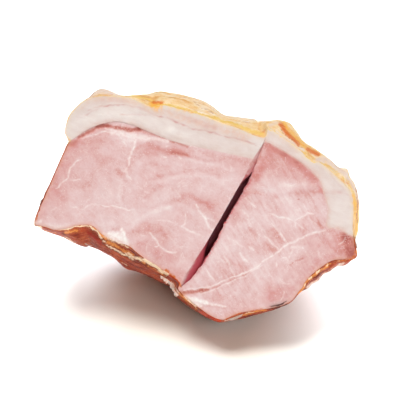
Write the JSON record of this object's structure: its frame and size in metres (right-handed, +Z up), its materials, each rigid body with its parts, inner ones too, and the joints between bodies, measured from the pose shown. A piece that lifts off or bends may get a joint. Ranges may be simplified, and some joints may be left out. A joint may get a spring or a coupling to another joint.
{
  "type": "chunk of smoked ham",
  "caption": "Chunk of smoked ham, its pink cut face leaning back under a cap of white fat, with a deep knife slit across it and rind and browned crust behind.",
  "frame": {"origin": "middle of the underside of the chunk's bounding box, on the surface that it rests on", "axes": "+X runs across the cut face to its right, as seen from in front of it; the cut face looks to -Y and up; +Z is up"},
  "size_m": [0.1802, 0.1156, 0.1224],
  "materials": {
    "lean": "moist pink cured meat with pale marbling",
    "fat": "satin white fat",
    "crust": "brown smoked crust, uneven and half gloss",
    "rind": "yellow smoked rind with orange patches"
  },
  "bodies": {
    "root": {"lean": "lean", "fat_cap": "fat"}
  },
  "joints": []
}
